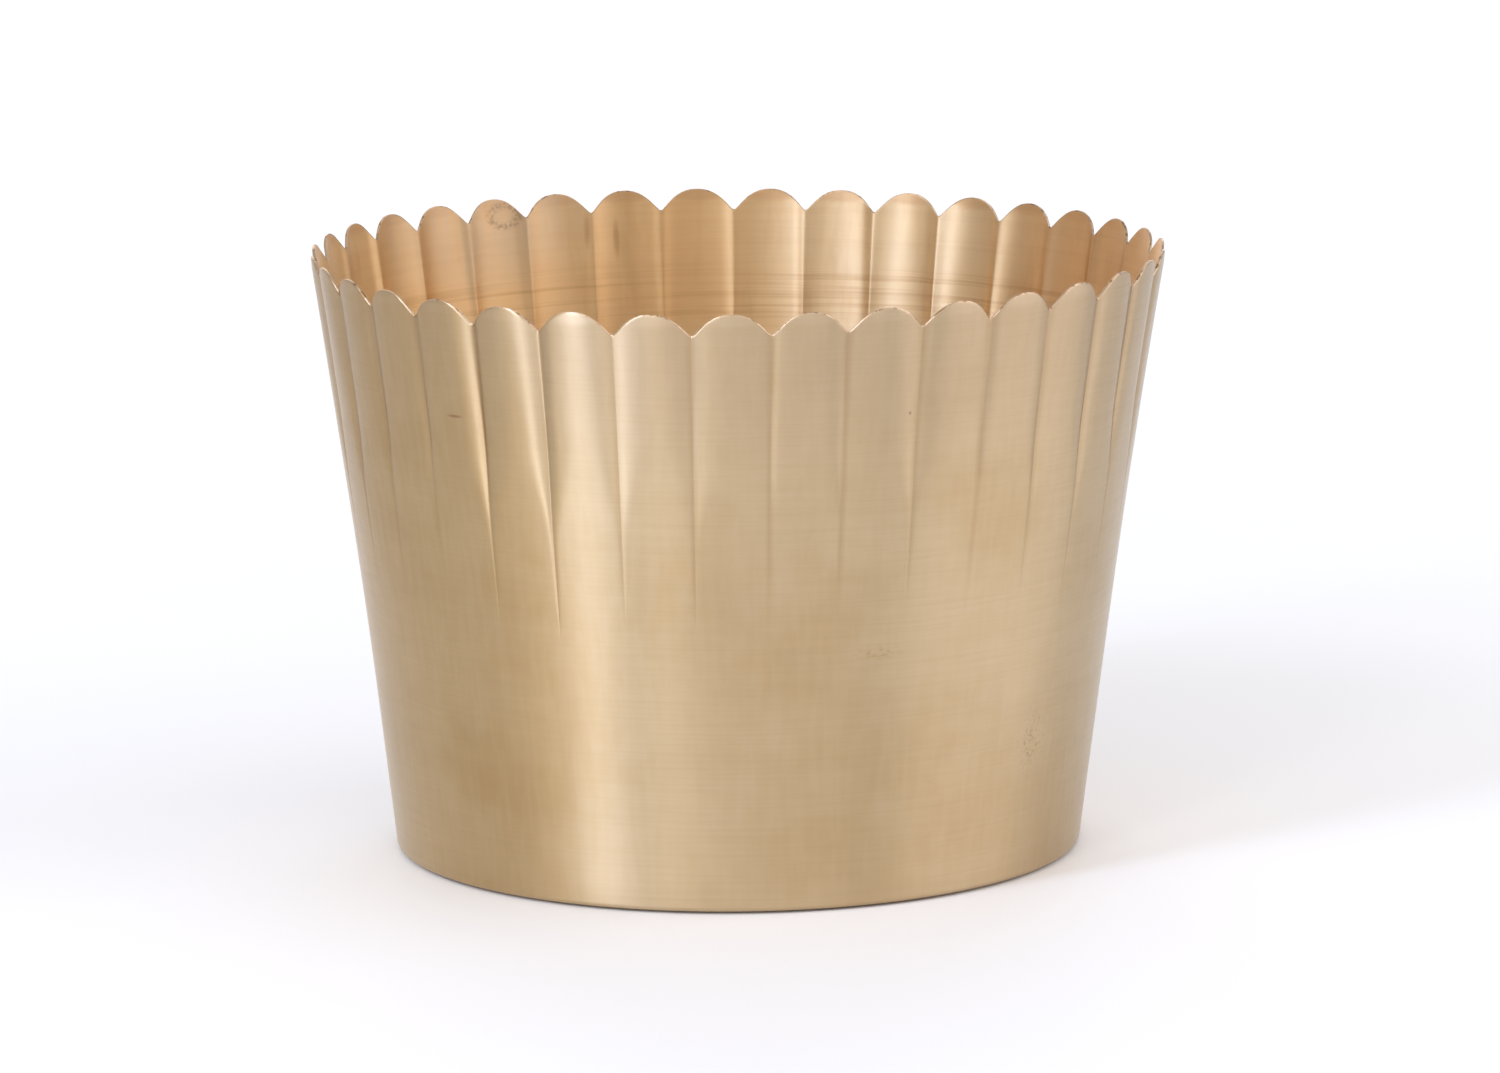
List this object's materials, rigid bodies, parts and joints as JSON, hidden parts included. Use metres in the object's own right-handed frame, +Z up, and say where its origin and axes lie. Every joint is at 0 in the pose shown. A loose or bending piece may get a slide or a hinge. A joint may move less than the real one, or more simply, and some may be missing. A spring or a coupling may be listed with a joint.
{
  "type": "planter pot",
  "caption": "Round tapered sheet-brass planter pot with creased flutes under a scalloped rim, a let-in soldered base disc and low grip pads.",
  "frame": {"origin": "centre of the circle that the pot stands on, in the plane of the undersides of the grip pads", "axes": "+Z up along the pot's axis, out of its mouth; -Y towards the side that the picture shows, +X to that side's right"},
  "size_m": [0.2497, 0.2495, 0.1777],
  "materials": {
    "wall_brass": "unlacquered satin brass, finely brushed round the pot, warmer inside",
    "base_brass": "satin brass sheet with faint turning rings",
    "solder": "dull grey soft solder, slightly lumpy",
    "pad_rubber": "matt black foam rubber"
  },
  "bodies": {
    "root": {"fluted_wall": "wall_brass", "base_disc": "base_brass", "base_solder": "solder", "grip_pads": "pad_rubber"}
  },
  "joints": []
}
